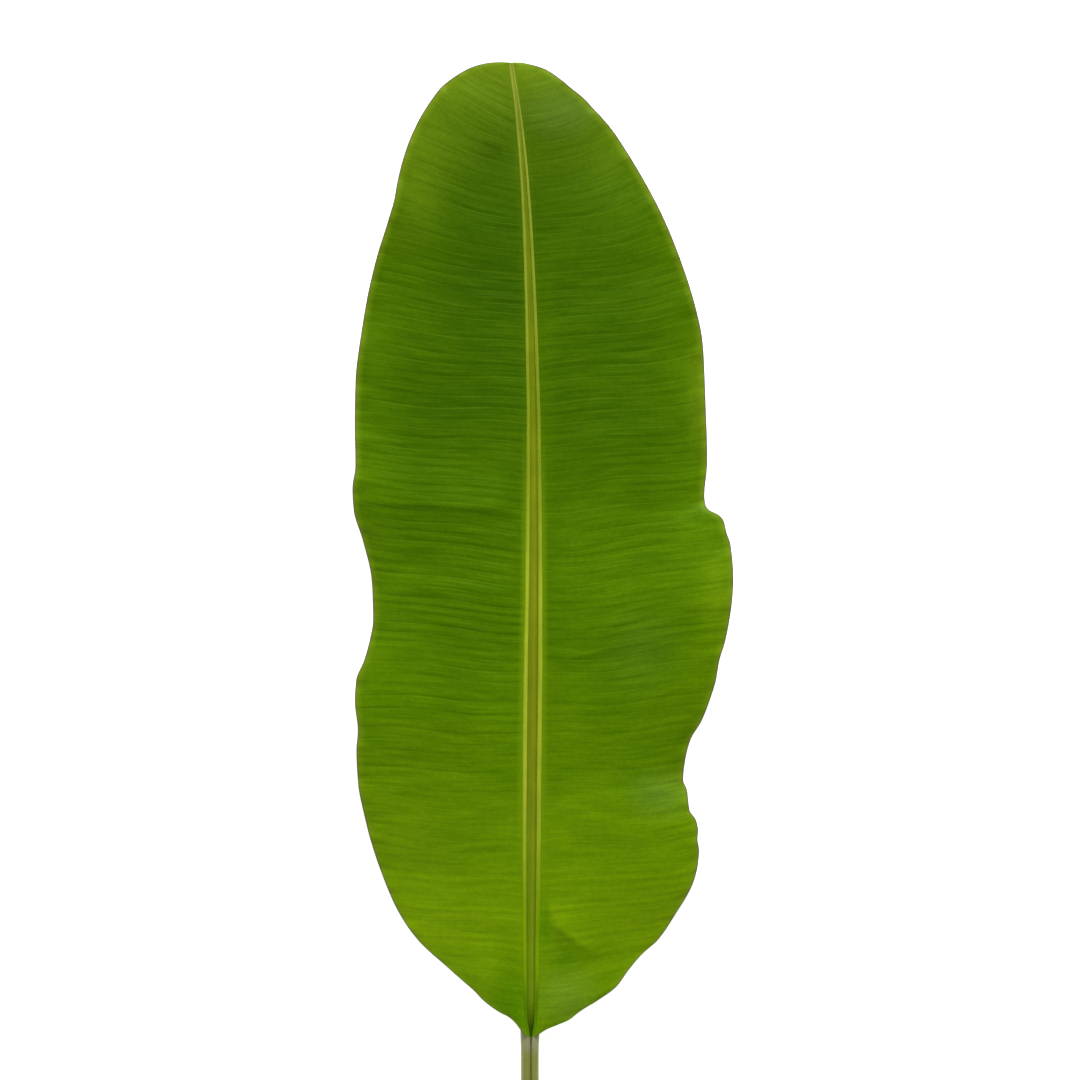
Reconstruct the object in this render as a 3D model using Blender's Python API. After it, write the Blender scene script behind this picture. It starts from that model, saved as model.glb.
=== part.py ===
"""A picked banana leaf, laid down on its back with the upper face up.

One grown piece: a stalk with a grooved upper side, the midrib that it runs on into, and the thin
blade that grows from the midrib's two rims, pleated along its side veins and waved at its margins.

Sizes are in millimetres, in the leaf's own directions: "station" is the distance up the midrib from
the foot of the blade, x is to the right, and z is the height above the surface that the leaf lies on.
The object's frame has +Y towards the tip and its origin on that surface, under the middle of the leaf.
"""

import bmesh
import bpy
import numpy as np

NODE = "banana_leaf"
MM = 0.001

BLADE_LENGTH = 970.0
STALK_LENGTH = 170.0
FOOTPRINT_CENTRE = (10.7, 400.8)

BLADE_THICKNESS = 0.85
ROOT_THICKNESS = 1.3

# The line of the midrib: station, x.
MIDRIB_LINE = (
    (-170, 0.5), (0, 0.0), (250, 1.0), (500, 3.0), (600, 2.7), (700, 0.6), (760, -1.4),
    (836, -5.2), (884, -9.0), (920, -12.8), (970, -20.0),
)

# Stalk and midrib in section, by station: half the gap between the rims, depth and half width of the
# groove, width of a rim, half width and depth of the keel, height of the keel's foot above the
# surface, slope at which the blade leaves the rim.
GAP, GROOVE, HOLLOW, RIM, KEEL, DEPTH, ARCH, RISE = range(1, 9)
SECTIONS = (
    (-170, 0.7, 9.0, 3.6, 2.6, 8.7, 20.0, 0.0, 0.10),
    (-12, 0.7, 8.6, 3.6, 2.6, 8.8, 19.6, 0.0, 0.10),
    (0, 0.9, 8.0, 3.4, 2.5, 9.3, 19.5, 0.0, 0.10),
    (14, 3.1, 5.4, 2.9, 2.4, 9.9, 19.3, 0.0, 0.12),
    (34, 4.3, 4.2, 3.3, 2.6, 10.0, 19.0, 0.2, 0.14),
    (114, 5.1, 3.5, 3.7, 3.4, 10.1, 17.8, 1.8, 0.18),
    (214, 5.5, 3.4, 4.0, 3.7, 10.1, 16.4, 4.4, 0.21),
    (334, 5.5, 3.3, 4.0, 3.9, 9.9, 14.3, 7.6, 0.24),
    (474, 4.8, 3.0, 3.6, 3.5, 9.0, 12.2, 9.3, 0.24),
    (604, 3.8, 2.6, 2.9, 3.3, 7.8, 9.9, 9.0, 0.22),
    (734, 2.8, 1.9, 2.2, 3.0, 6.2, 7.4, 6.6, 0.18),
    (864, 1.8, 1.2, 1.4, 2.4, 4.3, 5.0, 3.0, 0.13),
    (970, 1.0, 0.5, 0.7, 1.3, 2.5, 3.0, 0.4, 0.08),
)
STALK_SHIFT = -1.2
KEEL_SHARES = ((0.62, 0.20), (1.0, 0.50), (0.80, 0.86), (0.28, 1.0))
WIDE, DOWN = 0, 1

# The margins, by the station where a side vein leaves the midrib: how far up the leaf that vein ends,
# and how far out.
UP, OUT = 1, 2
LEFT_MARGIN = (
    (0, 1.0, 6.6), (5, 6.5, 10.6), (10, 14, 16.5), (15, 19, 22.5), (19, 23, 30.5), (30, 34.5, 47.0),
    (38, 43.5, 56.0), (58, 64, 79.8), (87, 94, 113.3), (117, 124, 133.9), (147, 154, 147.0),
    (177, 184, 157.4), (207, 214, 165.4), (247, 254, 172.8), (277, 284, 174.2), (296, 304, 172.8),
    (326, 334, 175.8),
    (345, 354, 174.7), (362, 374, 166.7), (380, 394, 161.2), (398, 414, 157.8), (418, 434, 158.2),
    (437, 454, 159.2), (475, 494, 168.0), (505, 524, 176.7), (526, 544, 177.9), (553, 568, 175.0),
    (602, 614, 176.0), (642, 654, 175.4), (675, 694, 170.8), (710, 734, 164.5), (748, 774, 155.1),
    (786, 814, 142.4), (803, 834, 136.5), (819, 854, 133.0), (838, 874, 128.0), (858, 894, 121.3),
    (876, 912, 113.2), (896, 936, 98.5), (911, 949, 88.0), (927, 958, 76.0), (943, 965.5, 63.5),
    (955, 970, 51.0), (964, 972, 39.5), (970, 972.5, 29.5),
)
RIGHT_MARGIN = (
    (0, 1.0, 6.6), (5, 7, 16.0), (8, 11, 26.0), (12, 16, 37.6), (18, 22, 45.5),
    (22, 28, 54.2), (27, 34, 64.6), (39, 49, 85.2), (52, 64, 96.6), (65, 79, 109.6), (79, 94, 126.6),
    (109, 124, 147.1), (125, 139, 156.4), (142, 154, 163.1), (158, 169, 166.8), (174, 184, 168.1),
    (185, 195, 166.5), (195, 204, 167.1),
    (205, 214, 165.0), (215, 224, 158.6), (236, 244, 156.1), (246, 254, 152.4), (266, 274, 154.3),
    (285, 294, 159.2), (304, 314, 170.5), (322, 334, 178.2), (340, 354, 184.3), (358, 374, 187.6),
    (375, 394, 193.6), (392, 414, 197.4), (409, 434, 200.0), (428, 454, 201.2), (466, 489, 198.9),
    (480, 502, 194.8), (491, 513, 192.3), (497, 519, 187.6), (502, 524, 178.0), (508, 529, 174.6),
    (523, 539, 173.5), (560, 574, 176.5), (618, 634, 174.6), (656, 674, 173.0), (675, 694, 171.3),
    (711, 734, 162.2), (769, 794, 141.6), (806, 834, 123.4), (842, 874, 101.0), (877, 904, 81.5),
    (900, 924, 64.2), (916, 936, 53.0), (931, 948, 38.4), (944, 956.5, 28.0), (955, 965, 15.0),
    (963, 969, 3.5), (970, 972.0, -10.0),
)

# How the margins lie, by the same stations: height above the surface, and slope there.
HEIGHT, SLOPE = 1, 2
LEFT_LIE = (
    (0, 17.6, 0.0), (20, 15.0, -0.10), (58, 7.5, -0.25), (117, 0.4, -0.15), (177, 4, -0.1),
    (260, 11, -0.15), (320, 10, -0.30), (362, 6.5, -0.36), (400, 4.5, -0.42), (440, 6.5, -0.38),
    (480, 9.5, -0.25), (526, 16, -0.12), (600, 8, -0.12), (660, 4, -0.15), (705, 0.4, -0.2),
    (748, 3, -0.15), (806, 9, 0.0), (860, 5, -0.1), (911, 1.8, -0.1), (970, 0.9, -0.05),
)
RIGHT_LIE = (
    (0, 17.6, 0.0), (30, 15.0, -0.1), (66, 8, -0.2), (94, 4, -0.2), (130, 3.6, -0.21),
    (160, 4.2, -0.22), (195, 5, -0.24), (218, 3.2, -0.31), (240, 0.4, -0.40), (270, 4, -0.28),
    (300, 9, -0.1), (340, 14, 0.0), (420, 21, 0.12), (466, 16, 0.08), (493, 10, -0.05),
    (506, 5.5, -0.25), (520, 2.0, -0.35), (545, 0.8, -0.4), (600, 1.4, -0.35), (650, 3, -0.25),
    (711, 9, -0.05), (769, 9, -0.05), (830, 5, -0.1), (880, 2.2, -0.1), (970, 0.9, -0.05),
)

# How evenly a side vein bends up towards the tip: 0.5 is a straight line.
LEFT_BEND = 0.36
RIGHT_BEND = 0.16

# Cross folds: station, how far it has drifted up by the margin, height of the crest (a crease if
# negative), width on the tip side and on the foot side, rounding, and the stretch of the side vein that
# it covers, from 0 at the rim to 1 at the margin.
LEFT_FOLDS = (
    (524, -12, 3.0, 38, 11, 1.5, 0.02, 1.00),
    (437, -3, 1.2, 20, 14, 1.0, 0.02, 0.95),
    (343, 0, 0.6, 14, 8, 1.5, 0.02, 0.45),
    (884, 0, 1.8, 20, 16, 1.5, 0.05, 0.40),
    (230, 0, -1.0, 22, 22, 4.0, 0.20, 0.80),
)
RIGHT_FOLDS = (
    (519, -14, -2.6, 34, 40, 5.0, 0.04, 1.00),
    (434, 0, 0.7, 26, 10, 2.0, 0.04, 0.60),
    (302, 0, -0.7, 7, 8, 1.0, 0.00, 0.22),
    (614, 0, -0.8, 20, 24, 4.0, 0.10, 0.90),
)
FOLD_FADE = 0.18

# The slanting pucker low on the right half: its two ends, height, and widths up and down slope.
PUCKER_ENDS = ((24.0, 112.0), (70.0, 78.0))
PUCKER_HEIGHT = 2.8
PUCKER_WIDTHS = (20.0, 13.0)

# Pleats between the side veins, twice as wide as the real ones.
PLEAT_PITCH = 20.0
PLEAT_HEIGHT = 0.5
PLEAT_FADE = 0.12

# Rows of the blade lie on its side veins; the foot and the tip have a few closer ones.
FOOT_ROWS = (0.0, 5.0, 10.0, 15.0, 21.0, 29.0)
TIP_ROWS = (956.0, 963.0, 970.0)
STALK_ROWS = (-170.0, -120.0, -70.0, -30.0, -12.0)
BLADE_COLUMNS = (0.0, 0.05, 0.14, 0.27, 0.41, 0.55, 0.69, 0.82, 0.93, 1.0)

LEAF_GREEN = (0.105, 0.235, 0.008, 1.0)
LEAF_ROUGHNESS = 0.45


def eased(table, column, stations):
    """One column of a table at the given stations, smooth between its rows and never past them."""
    x = np.array([row[0] for row in table], float)
    y = np.array([row[column] for row in table], float)
    gap = np.diff(x)
    slope = np.diff(y) / gap
    before, after = slope[:-1], slope[1:]
    near, far = 2 * gap[1:] + gap[:-1], gap[1:] + 2 * gap[:-1]
    turning = before * after <= 0
    with np.errstate(divide="ignore", invalid="ignore"):
        mean = (near + far) / (near / before + far / after)
    tangent = np.concatenate([slope[:1], np.where(turning, 0.0, mean), slope[-1:]])
    i = np.clip(np.searchsorted(x, stations) - 1, 0, len(gap) - 1)
    t = (stations - x[i]) / gap[i]
    return (
        (1 + 2 * t) * (1 - t) ** 2 * y[i]
        + t * (1 - t) ** 2 * gap[i] * tangent[i]
        + t * t * (3 - 2 * t) * y[i + 1]
        + t * t * (t - 1) * gap[i] * tangent[i + 1]
    )


def smooth_step(value, start, end):
    """0 below start, 1 above end, and an even S between them."""
    t = np.clip((value - start) / (end - start), 0.0, 1.0)
    return t * t * (3 - 2 * t)


def stalk_section(station):
    """The closed outline of stalk or midrib at one station, as (x, y, z), anticlockwise from the tip side.

    It starts where the right half of the blade begins on top, crosses the groove, and comes back
    round the keel. Points 6 and 7 are the left root of the blade, the last and the first the right.
    """
    s = np.array([station])
    size = [float(eased(SECTIONS, column, s)[0]) for column in range(1, 9)]
    gap, groove, hollow, rim, keel, depth, arch, _ = size
    middle = float(eased(MIDRIB_LINE, 1, s)[0])
    top = arch + depth
    root = min(ROOT_THICKNESS, 0.36 * depth)
    root_top = (gap + rim - 0.3, -0.15 * rim)
    root_foot = (gap + rim + 0.2, root_top[1] - root)
    below = depth + root_foot[1]
    side = []
    for wide, down in KEEL_SHARES:
        x = keel * wide
        if wide < 1.0 and down < 0.5:
            x = root_foot[0] + (keel - root_foot[0]) * wide
        side.append((x, root_foot[1] - below * down))
    inner = [(gap, 0.0), (hollow, -0.72 * groove)]
    right = [root_top] + inner
    left = [(-x, z) for x, z in reversed(right)]
    left_side = [(-x, z) for x, z in [root_foot] + side]
    right_side = list(reversed([root_foot] + side))
    outline = right + [(0.0, -groove)] + left + left_side + right_side
    lean = STALK_SHIFT * smooth_step(-s, -60.0, 10.0)[0]
    points = []
    for x, z in outline:
        sink = min(1.0, max(0.0, -z / depth) * 2.0)
        points.append((middle + x + lean * sink, station, top + z))
    return points


def blade_points(side, stations, t):
    """Middle surface of one half of the blade, at grids of stations and of shares along the side veins."""
    left = side < 0
    margin, lie = (LEFT_MARGIN, LEFT_LIE) if left else (RIGHT_MARGIN, RIGHT_LIE)
    bend = LEFT_BEND if left else RIGHT_BEND
    gap, rim, depth, arch, rise = [eased(SECTIONS, c, stations) for c in (GAP, RIM, DEPTH, ARCH, RISE)]
    root_x = eased(MIDRIB_LINE, 1, stations) + side * (gap + rim - 0.05)
    root_z = arch + depth - 0.15 * rim - 0.5 * np.minimum(ROOT_THICKNESS, 0.36 * depth)
    end_x = side * eased(margin, OUT, stations)
    end_y = eased(margin, UP, stations)
    end_z = eased(lie, HEIGHT, stations) + 0.5 * BLADE_THICKNESS
    span = np.hypot(end_x - root_x, end_y - stations)

    x = root_x + (end_x - root_x) * t
    y = stations + (end_y - stations) * (2 * bend * t * (1 - t) + t * t)
    z = (
        (1 + 2 * t) * (1 - t) ** 2 * root_z
        + t * (1 - t) ** 2 * span * rise
        + t * t * (3 - 2 * t) * end_z
        + t * t * (t - 1) * span * eased(lie, SLOPE, stations)
    )
    z = z + cross_folds(LEFT_FOLDS if left else RIGHT_FOLDS, stations, t)
    if not left:
        z = z + pucker(x, y)
    return np.stack([x, y, z], axis=-1)


def cross_folds(folds, stations, t):
    """Height that the crests and creases across one half of the blade add."""
    height = np.zeros(np.broadcast(stations, t).shape)
    for station, drift, crest, tip_width, foot_width, rounding, start, end in folds:
        away = stations - station - drift * t**2
        width = np.where(away > 0, tip_width, foot_width)
        rounded = np.sqrt(away**2 + rounding**2) - rounding
        cover = smooth_step(t, start, start + FOLD_FADE) * (1 - smooth_step(t, end - FOLD_FADE, end + 0.02))
        height = height + crest * np.exp(-rounded / width) * cover
    return height


def pucker(x, y):
    """Height of the slanting pucker: a crest that falls away gently up the leaf and steeply down it."""
    (x0, y0), (x1, y1) = PUCKER_ENDS
    length = np.hypot(x1 - x0, y1 - y0)
    along = ((x - x0) * (x1 - x0) + (y - y0) * (y1 - y0)) / length
    across = ((x - x0) * (y0 - y1) + (y - y0) * (x1 - x0)) / length
    width = np.where(across > 0, *PUCKER_WIDTHS)
    cover = smooth_step(along, -8.0, 14.0) * (1 - smooth_step(along, length - 14.0, length + 10.0))
    return PUCKER_HEIGHT * np.exp(-((across / width) ** 2)) * cover


def blade_skins(side, rows):
    """Top and under skin of one half of the blade as two grids of points, without their root column."""
    stations, t = np.meshgrid(np.array(rows), np.array(BLADE_COLUMNS[1:]), indexing="ij")
    middle = blade_points(side, stations, t)
    crest = np.cos(2 * np.pi * stations / PLEAT_PITCH)
    ends = smooth_step(stations, 20.0, 50.0) * (1 - smooth_step(stations, 920.0, 955.0))
    middle[..., 2] += 0.5 * PLEAT_HEIGHT * crest * ends * smooth_step(t, 0.0, PLEAT_FADE)
    half = np.array([0.0, 0.0, 0.5 * BLADE_THICKNESS])
    return middle + half, middle - half


def add_strip(bm, first, second):
    """Two triangles on each pair of neighbours of two rows of vertices; their faces look left of first."""
    for a, b, c, d in zip(first, first[1:], second[1:], second):
        bm.faces.new((a, b, c))
        bm.faces.new((a, c, d))


def add_blade_half(bm, side, rows, root_top, root_foot):
    """Closes one half of the blade on to the midrib's root vertices."""
    top, under = blade_skins(side, rows)
    new = bm.verts.new
    tops = [[root] + [new(p) for p in line] for root, line in zip(root_top, top)]
    unders = [[root] + [new(p) for p in line] for root, line in zip(root_foot, under)]
    for row in range(len(rows) - 1):
        add_strip(bm, tops[row], tops[row + 1])
        add_strip(bm, unders[row], unders[row + 1])
    add_strip(bm, [line[-1] for line in tops], [line[-1] for line in unders])
    for row in (0, -1):
        add_strip(bm, tops[row], unders[row])


def add_midrib(bm, rows):
    """Skin of stalk and midrib, open along the two roots of the blade. Returns its rings of vertices."""
    stations = list(STALK_ROWS) + list(rows)
    rings = [[bm.verts.new(p) for p in stalk_section(s)] for s in stations]
    for ring, following, station in zip(rings, rings[1:], stations):
        on_stalk = station < 0
        add_strip(bm, ring[:7], following[:7])
        add_strip(bm, ring[7:], following[7:])
        if on_stalk:
            add_strip(bm, ring[6:8], following[6:8])
            add_strip(bm, [ring[-1], ring[0]], [following[-1], following[0]])
    bm.faces.new(rings[0])
    bm.faces.new(rings[-1])
    return rings[len(STALK_ROWS):]


def blade_rows():
    """Stations of the blade's rows: two to a pleat, with closer ones at the foot and the tip."""
    pleats = np.arange(40.0, 951.0, 0.5 * PLEAT_PITCH)
    return list(FOOT_ROWS) + [float(s) for s in pleats] + list(TIP_ROWS)


def leaf_material():
    material = bpy.data.materials.new("leaf_green")
    material.use_nodes = True
    shader = material.node_tree.nodes["Principled BSDF"]
    shader.inputs["Base Color"].default_value = LEAF_GREEN
    shader.inputs["Roughness"].default_value = LEAF_ROUGHNESS
    shader.inputs["Metallic"].default_value = 0.0
    material.diffuse_color = LEAF_GREEN
    return material


def make_leaf():
    bm = bmesh.new()
    rows = blade_rows()
    rings = add_midrib(bm, rows)
    add_blade_half(bm, -1, rows, [ring[6] for ring in rings], [ring[7] for ring in rings])
    add_blade_half(bm, 1, rows, [ring[0] for ring in rings], [ring[-1] for ring in rings])
    for vertex in bm.verts:
        vertex.co.x = (vertex.co.x - FOOTPRINT_CENTRE[0]) * MM
        vertex.co.y = (vertex.co.y - FOOTPRINT_CENTRE[1]) * MM
        vertex.co.z = vertex.co.z * MM
    bmesh.ops.recalc_face_normals(bm, faces=bm.faces)
    bmesh.ops.triangulate(bm, faces=[face for face in bm.faces if len(face.verts) > 4])
    mesh = bpy.data.meshes.new(NODE)
    bm.to_mesh(mesh)
    bm.free()
    mesh.shade_smooth()
    mesh.materials.append(leaf_material())
    leaf = bpy.data.objects.new(NODE, mesh)
    bpy.context.scene.collection.objects.link(leaf)
    return leaf


for old in list(bpy.data.objects):
    bpy.data.objects.remove(old)
make_leaf()
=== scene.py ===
"""A fresh banana leaf that lies face up on a white table, seen from straight above.

The leaf's two blade halves and its midrib with the stalk are laid out in millimetres in the leaf's own
directions: "station" is the distance up the midrib from the foot of the blade, x is to the right and z
is the height above the table.
"""

import math

import bpy
import numpy as np
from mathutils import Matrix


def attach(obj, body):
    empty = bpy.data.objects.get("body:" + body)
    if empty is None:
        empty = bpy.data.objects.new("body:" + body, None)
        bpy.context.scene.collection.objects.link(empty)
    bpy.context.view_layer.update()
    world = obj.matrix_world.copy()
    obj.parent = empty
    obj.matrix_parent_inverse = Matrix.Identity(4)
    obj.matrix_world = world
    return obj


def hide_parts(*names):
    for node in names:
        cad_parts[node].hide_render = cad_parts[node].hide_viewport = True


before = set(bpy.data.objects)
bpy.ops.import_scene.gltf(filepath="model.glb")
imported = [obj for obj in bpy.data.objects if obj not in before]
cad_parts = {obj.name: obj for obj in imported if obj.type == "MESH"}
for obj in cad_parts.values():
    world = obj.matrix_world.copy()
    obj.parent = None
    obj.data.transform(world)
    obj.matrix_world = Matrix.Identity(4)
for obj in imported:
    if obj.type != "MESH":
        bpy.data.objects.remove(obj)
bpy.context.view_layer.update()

MM = 0.001
LEFT, RIGHT = -1, 1
FULL_TURN = 6.28
BLADE_LENGTH = 970.0
FOOTPRINT_CENTRE = (10.7, 400.8)
SHEET_THICKNESS = 0.5
MARGIN_ROUNDING = 0.16
ROOT_THICKNESS = 1.3
ROOT_SINK = 1.0

MIDRIB_LINE = (
    (-170, 0.5), (0, 0.0), (250, 1.0), (500, 3.0), (600, 2.7), (700, 0.6), (760, -1.4),
    (836, -5.2), (884, -9.0), (920, -12.8), (970, -20.0),
)

# Stalk and midrib by station: half gap between the rims, depth and half width of the groove, width of
# a rim, half width and depth of the keel, height of the keel's foot, slope of the blade at the rim.
GAP, GROOVE, HOLLOW, RIM, KEEL, DEPTH, ARCH, RISE = range(1, 9)
SECTIONS = (
    (-170, 0.7, 9.0, 3.6, 2.6, 8.7, 20.0, 0.0, 0.10),
    (-12, 0.7, 8.6, 3.6, 2.6, 8.8, 19.6, 0.0, 0.10),
    (0, 0.9, 8.0, 3.4, 2.5, 9.3, 19.5, 0.0, 0.10),
    (14, 3.1, 5.4, 2.9, 2.4, 9.9, 19.3, 0.0, 0.12),
    (34, 4.3, 4.2, 3.3, 2.6, 10.0, 19.0, 0.2, 0.14),
    (114, 5.1, 3.5, 3.7, 3.4, 10.1, 17.8, 1.8, 0.18),
    (214, 5.5, 3.4, 4.0, 3.7, 10.1, 16.4, 4.4, 0.21),
    (334, 5.5, 3.3, 4.0, 3.9, 9.9, 14.3, 7.6, 0.24),
    (474, 4.8, 3.0, 3.6, 3.5, 9.0, 12.2, 9.3, 0.24),
    (604, 3.8, 2.6, 2.9, 3.3, 7.8, 9.9, 9.0, 0.22),
    (734, 2.8, 1.9, 2.2, 3.0, 6.2, 7.4, 6.6, 0.18),
    (864, 1.8, 1.2, 1.4, 2.4, 4.3, 5.0, 3.0, 0.13),
    (970, 1.0, 0.5, 0.7, 1.3, 2.5, 3.0, 0.4, 0.08),
)
STALK_SHIFT = -1.2
STALK_FOOT = -170.0
SLIT_HALF_WIDTH = (0.9, 1.6)
SLIT_CLOSES = (2.0, 14.0)
SLIT_DEPTH = 2.0

# The margins, by the station where a side vein leaves the midrib: how far up that vein ends, how far out.
UP, OUT = 1, 2
LEFT_MARGIN = (
    (0, 1.0, 6.6), (5, 6.5, 10.6), (10, 14, 16.5), (15, 19, 22.5), (19, 23, 30.5), (30, 34.5, 47.0),
    (38, 43.5, 56.0), (58, 64, 79.8), (87, 94, 113.3), (117, 124, 133.9), (147, 154, 147.0),
    (177, 184, 157.4), (207, 214, 165.4), (247, 254, 172.8), (277, 284, 174.2), (296, 304, 172.8),
    (326, 334, 175.8),
    (345, 354, 174.7), (362, 374, 166.7), (380, 394, 161.2), (398, 414, 157.8), (418, 434, 158.2),
    (437, 454, 159.2), (475, 494, 168.0), (505, 524, 176.7), (526, 544, 177.9), (553, 568, 175.0),
    (602, 614, 176.0), (642, 654, 175.4), (675, 694, 170.8), (710, 734, 164.5), (748, 774, 155.1),
    (786, 814, 142.4), (803, 834, 136.5), (819, 854, 133.0), (838, 874, 128.0), (858, 894, 121.3),
    (876, 912, 113.2), (896, 936, 98.5), (911, 949, 88.0), (927, 958, 76.0), (943, 965.5, 63.5),
    (955, 970, 51.0), (964, 972, 39.5), (970, 972.5, 29.5),
)
RIGHT_MARGIN = (
    (0, 1.0, 6.6), (5, 7, 16.0), (8, 11, 26.0), (12, 16, 37.6), (18, 22, 45.5),
    (22, 28, 54.2), (27, 34, 64.6), (39, 49, 85.2), (52, 64, 96.6), (65, 79, 109.6), (79, 94, 126.6),
    (109, 124, 147.1), (125, 139, 156.4), (142, 154, 163.1), (158, 169, 166.8), (174, 184, 168.1),
    (185, 195, 166.5), (195, 204, 167.1),
    (205, 214, 165.0), (215, 224, 158.6), (236, 244, 156.1), (246, 254, 152.4), (266, 274, 154.3),
    (285, 294, 159.2), (304, 314, 170.5), (322, 334, 178.2), (340, 354, 184.3), (358, 374, 187.6),
    (375, 394, 193.6), (392, 414, 197.4), (409, 434, 200.0), (428, 454, 201.2), (466, 489, 198.9),
    (480, 502, 194.8), (491, 513, 192.3), (497, 519, 187.6), (502, 524, 178.0), (508, 529, 174.6),
    (523, 539, 173.5), (560, 574, 176.5), (618, 634, 174.6), (656, 674, 173.0), (675, 694, 171.3),
    (711, 734, 162.2), (769, 794, 141.6), (806, 834, 123.4), (842, 874, 101.0), (877, 904, 81.5),
    (900, 924, 64.2), (916, 936, 53.0), (931, 948, 38.4), (944, 956.5, 28.0), (955, 965, 15.0),
    (963, 969, 3.5), (970, 972.0, -10.0),
)

# How the margins lie, by the same stations: height above the table, and slope there.
HEIGHT, SLOPE = 1, 2
LEFT_LIE = (
    (0, 17.6, 0.0), (20, 15.0, -0.10), (58, 7.5, -0.25), (117, 0.4, -0.15), (177, 4, -0.1),
    (260, 11, -0.15), (320, 10, -0.30), (362, 6.5, -0.36), (400, 4.5, -0.42), (440, 6.5, -0.38),
    (480, 9.5, -0.25), (526, 16, -0.12), (600, 8, -0.12), (660, 4, -0.15), (705, 0.4, -0.2),
    (748, 3, -0.15), (806, 9, 0.0), (860, 5, -0.1), (911, 1.8, -0.1), (970, 0.9, -0.05),
)
RIGHT_LIE = (
    (0, 17.6, 0.0), (30, 15.0, -0.1), (66, 8, -0.2), (94, 4, -0.2), (130, 3.6, -0.21),
    (160, 4.2, -0.22), (195, 5, -0.24), (218, 3.2, -0.31), (240, 0.4, -0.40), (270, 4, -0.28),
    (300, 9, -0.1), (340, 14, 0.0), (420, 21, 0.12), (466, 16, 0.08), (493, 10, -0.05),
    (506, 5.5, -0.25), (520, 2.0, -0.35), (545, 0.8, -0.4), (600, 1.4, -0.35), (650, 3, -0.25),
    (711, 9, -0.05), (769, 9, -0.05), (830, 5, -0.1), (880, 2.2, -0.1), (970, 0.9, -0.05),
)
LEFT_BEND = 0.36
RIGHT_BEND = 0.16

# Near the tip the rims' line is drawn up by this much, so that the blade closes round the midrib's end.
TIP_FILL = 1.8
TIP_FILL_STRETCH = (958.0, 970.0)

# Cross folds: station, how far it has drifted up by the margin, height of the crest (a crease if
# negative), width on the tip side and on the foot side, rounding, and the stretch of the side vein that
# it covers, from 0 at the rim to 1 at the margin.
LEFT_FOLDS = (
    (524, -12, 3.0, 38, 11, 1.5, 0.02, 1.00),
    (437, -3, 1.2, 20, 14, 1.0, 0.02, 0.95),
    (343, 0, 0.6, 14, 8, 1.5, 0.02, 0.45),
    (521, -4, 0.5, 8, 2.4, 0.4, 0.03, 0.75),
    (439, -3, 1.1, 40, 9, 0.5, 0.03, 0.90),
    (884, 0, 1.8, 20, 16, 1.5, 0.05, 0.40),
    (230, 0, -1.0, 22, 22, 4.0, 0.20, 0.80),
)
RIGHT_FOLDS = (
    (519, -14, -2.6, 34, 40, 5.0, 0.04, 1.00),
    (434, 0, 0.7, 26, 10, 2.0, 0.04, 0.60),
    (302, 0, -0.7, 7, 8, 1.0, 0.00, 0.22),
    (614, 0, -0.8, 20, 24, 4.0, 0.10, 0.90),
)
FOLD_FADE = 0.18

# Puckers of the right half: the two ends of each, its height, and its widths up and down the slope.
PUCKERS = (
    ((24.0, 112.0), (66.0, 80.0), 3.2, (20.0, 8.5)),
    ((20.0, 130.0), (30.0, 106.0), 2.0, (11.0, 4.5)),
    ((26.0, 110.0), (50.0, 91.0), 0.8, (4.0, 3.0)),
    ((25.0, 150.0), (20.0, 118.0), 0.8, (7.0, 4.0)),
    ((22.0, 373.0), (150.0, 403.0), 1.2, (18.0, 6.0)),
)
PUCKER_ROUNDING = 1.6

# Side veins: their pitch, the depth of the pleat between two of them, and how the pitch wanders.
VEIN_PITCH = 10.0
PLEAT_DEPTH = 0.34
VEIN_WANDER = ((0.26, 0.043), (0.10, 0.171), (0.12, 0.019))
VEIN_TURNS = {LEFT: 1.7, RIGHT: 0.4}

# The pleats' depth changes from vein to vein. It is less at the foot and the tip, and on the left half
# it is most round one vein.
PLEAT_SEEDS = {LEFT: 21, RIGHT: 34}
PLEAT_SPREAD = (0.3, 1.3)
PLEAT_SHARES = {LEFT: 0.85, RIGHT: 0.75}
PLEAT_TIP_LOSS = {LEFT: 0.45, RIGHT: 0.75}
FOOT_VEINS = (14, 30)
TIP_VEINS = (78, 92)
DEEPEST_VEIN, DEEP_REACH, DEEP_GAIN = 42, 14, 0.9

# The blade's shallow unevenness and the ruffle of its margin: wavelength and height of each wave.
WAVE_SEEDS = {LEFT: 5, RIGHT: 8}
SHALLOW_WAVES = ((95, 0.45), (61, 0.20), (38, 0.08), (27, 0.05))
RUFFLE_WAVES = ((44, 0.50), (23, 0.32), (13, 0.16))

# Rows and columns of the sheets. The blade's columns stand closer near the rim and the margin.
BLADE_COLUMNS = 44
BLADE_ROWS = 880
COLUMN_CROWDING = 0.075
RIB_COLUMNS = 72
RIB_ROWS = 500

# Colours as the eye sees them, 0 to 255.
GROUND = (
    (0.00, (106, 148, 2)), (0.10, (114, 153, 4)), (0.20, (106, 146, 3)), (0.30, (91, 131, 1)),
    (0.42, (81, 121, 1)), (0.52, (73, 112, 1)), (0.66, (64, 101, 1)), (0.84, (62, 97, 1)),
    (0.93, (73, 104, 5)), (1.00, (88, 117, 13)),
)
DEEP_GREEN = (86, 138, 0)
# Grey-green for the patches of painted sheen, and for a greyer tone by the midrib's foot.
GREY_GREEN = (128, 146, 96)
# Yellow-green of the bands by the margins, also used for a painted highlight on a pucker.
YELLOW_GREEN = (114, 142, 20)
VEIN_LIGHT = (122, 156, 28)
MARGIN_YELLOW = (122, 148, 26)
MARGIN_BROWN = (104, 84, 84)
UNDERSIDE_GREEN = (122, 150, 84)
UNDERSIDE_VEIN = (150, 172, 110)
RIM_YELLOW = (172, 192, 48)
RIM_UPPER = (138, 158, 34)
RIM_GLOW = (120, 152, 10)
RIM_FOOT = (136, 172, 4)
RIM_TIP = (137, 151, 50)
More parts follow.
